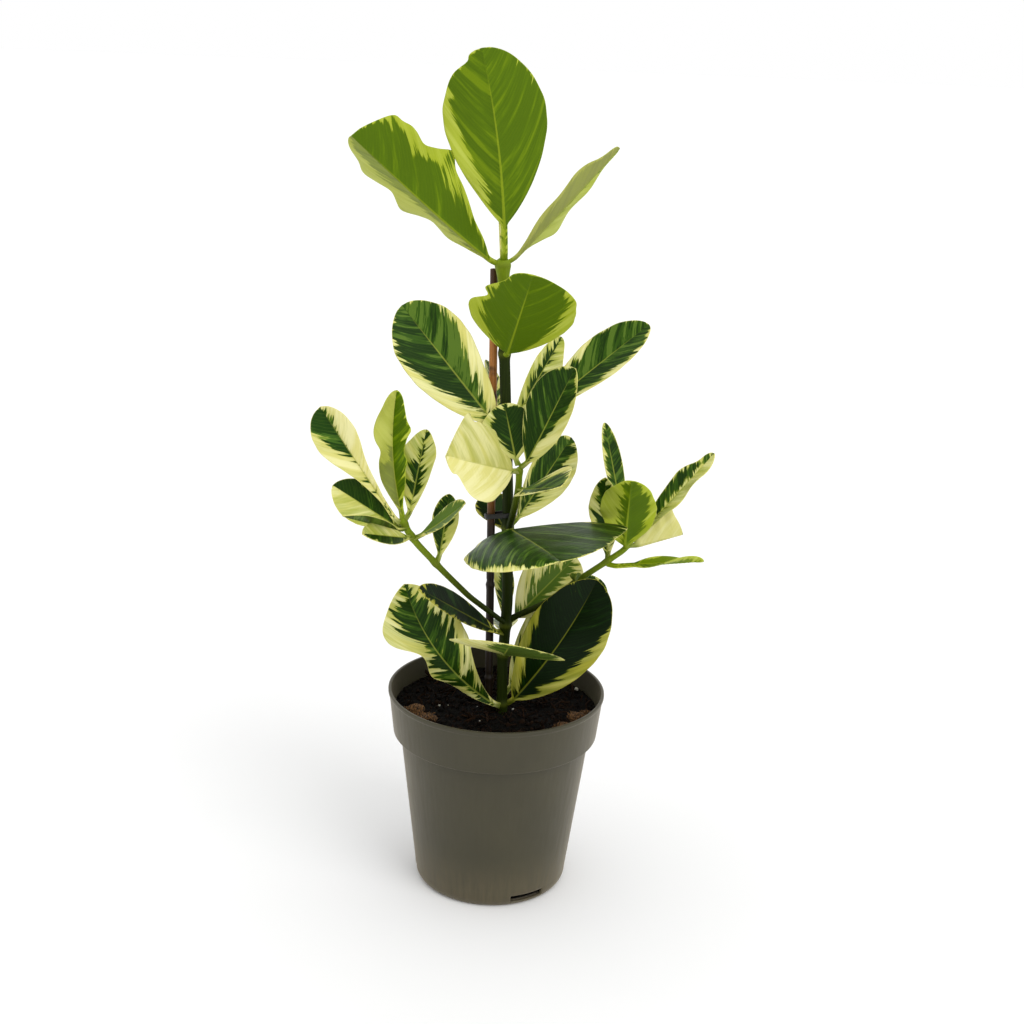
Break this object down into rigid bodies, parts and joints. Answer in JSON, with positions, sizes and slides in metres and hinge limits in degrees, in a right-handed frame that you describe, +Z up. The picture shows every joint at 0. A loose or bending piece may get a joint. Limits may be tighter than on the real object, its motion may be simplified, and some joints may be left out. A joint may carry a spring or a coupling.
{
  "type": "potted clusia",
  "caption": "Upright variegated clusia with leathery paddle-shaped leaves on a staked stem, planted in peat in a tapered plastic nursery pot with a stepped collar.",
  "frame": {"origin": "centre of the pot's underside, on the surface it stands on", "axes": "+Z up along the pot's axis; the viewer's side is -Y and +X is to the viewer's right"},
  "size_m": [0.2941, 0.2255, 0.643],
  "materials": {
    "pot_plastic": "injection-moulded polypropylene, taupe grey, matte, with a slightly shinier lip",
    "soil_peat": "damp dark peat crumbs",
    "bark": "torn reddish-brown bark, dry and fibrous",
    "green_stem": "young woody stem, olive green, satin, with pale rings at the nodes",
    "bamboo": "dried bamboo cane, tan, darker and stained towards the soil",
    "tie_plastic": "soft black plastic plant tie",
    "leaf_young": "young leaf, light green feathered with yellow-green, waxy",
    "leaf_marbled": "leathery leaf marbled dark green, grey-green and cream, waxy gloss",
    "leaf_dark": "old leaf, near-black green with a thin cream or olive margin, glossy",
    "leaf_cream": "mostly cream leaf with green flecks, waxy"
  },
  "bodies": {
    "root": {"pot": "pot_plastic", "soil": "soil_peat", "bark_chip_front": "bark", "bark_chip_left": "bark", "bark_chip_left_long": "bark", "bark_chip_left_small": "bark", "bark_chip_right": "bark", "bark_chip_right_long": "bark", "bark_chip_right_small": "bark", "main_stem": "green_stem", "front_shoot": "green_stem", "left_shoot": "green_stem", "right_shoot": "green_stem", "stake": "bamboo", "tie": "tie_plastic", "leaf_top_centre": "leaf_young", "leaf_top_left": "leaf_young", "leaf_top_right": "leaf_young", "leaf_collar_front": "leaf_young", "leaf_collar_back": "leaf_marbled", "leaf_upper_left": "leaf_marbled", "leaf_upper_right": "leaf_marbled", "leaf_upper_back_right": "leaf_marbled", "leaf_upper_back_left": "leaf_marbled", "leaf_front_left": "leaf_cream", "leaf_front_small": "leaf_marbled", "leaf_front_right": "leaf_marbled", "leaf_front_low": "leaf_marbled", "leaf_mid_right_under": "leaf_marbled", "leaf_mid_back_left": "leaf_dark", "leaf_mid_front": "leaf_marbled", "leaf_left_shoot_low_back": "leaf_marbled", "leaf_left_shoot_low_front": "leaf_marbled", "leaf_left_shoot_tall": "leaf_young", "leaf_left_shoot_cream": "leaf_cream", "leaf_left_shoot_right": "leaf_marbled", "leaf_left_shoot_olive": "leaf_marbled", "leaf_left_shoot_edge": "leaf_marbled", "leaf_left_shoot_under": "leaf_marbled", "leaf_right_shoot_front": "leaf_young", "leaf_right_shoot_left": "leaf_marbled", "leaf_right_shoot_thin": "leaf_marbled", "leaf_right_shoot_right": "leaf_marbled", "leaf_right_shoot_cream": "leaf_cream", "leaf_right_shoot_low": "leaf_young", "leaf_right_shoot_stub": "leaf_marbled", "leaf_low_left_thin": "leaf_dark", "leaf_low_right_marble": "leaf_marbled", "leaf_low_back_left": "leaf_marbled", "leaf_low_front_edge": "leaf_marbled", "leaf_low_right_back": "leaf_marbled", "leaf_base_right": "leaf_dark", "leaf_base_left": "leaf_marbled", "leaf_back_top": "leaf_marbled", "leaf_back_upper": "leaf_marbled", "leaf_back_mid": "leaf_marbled", "leaf_back_low": "leaf_marbled", "leaf_back_base": "leaf_marbled"}
  },
  "joints": []
}
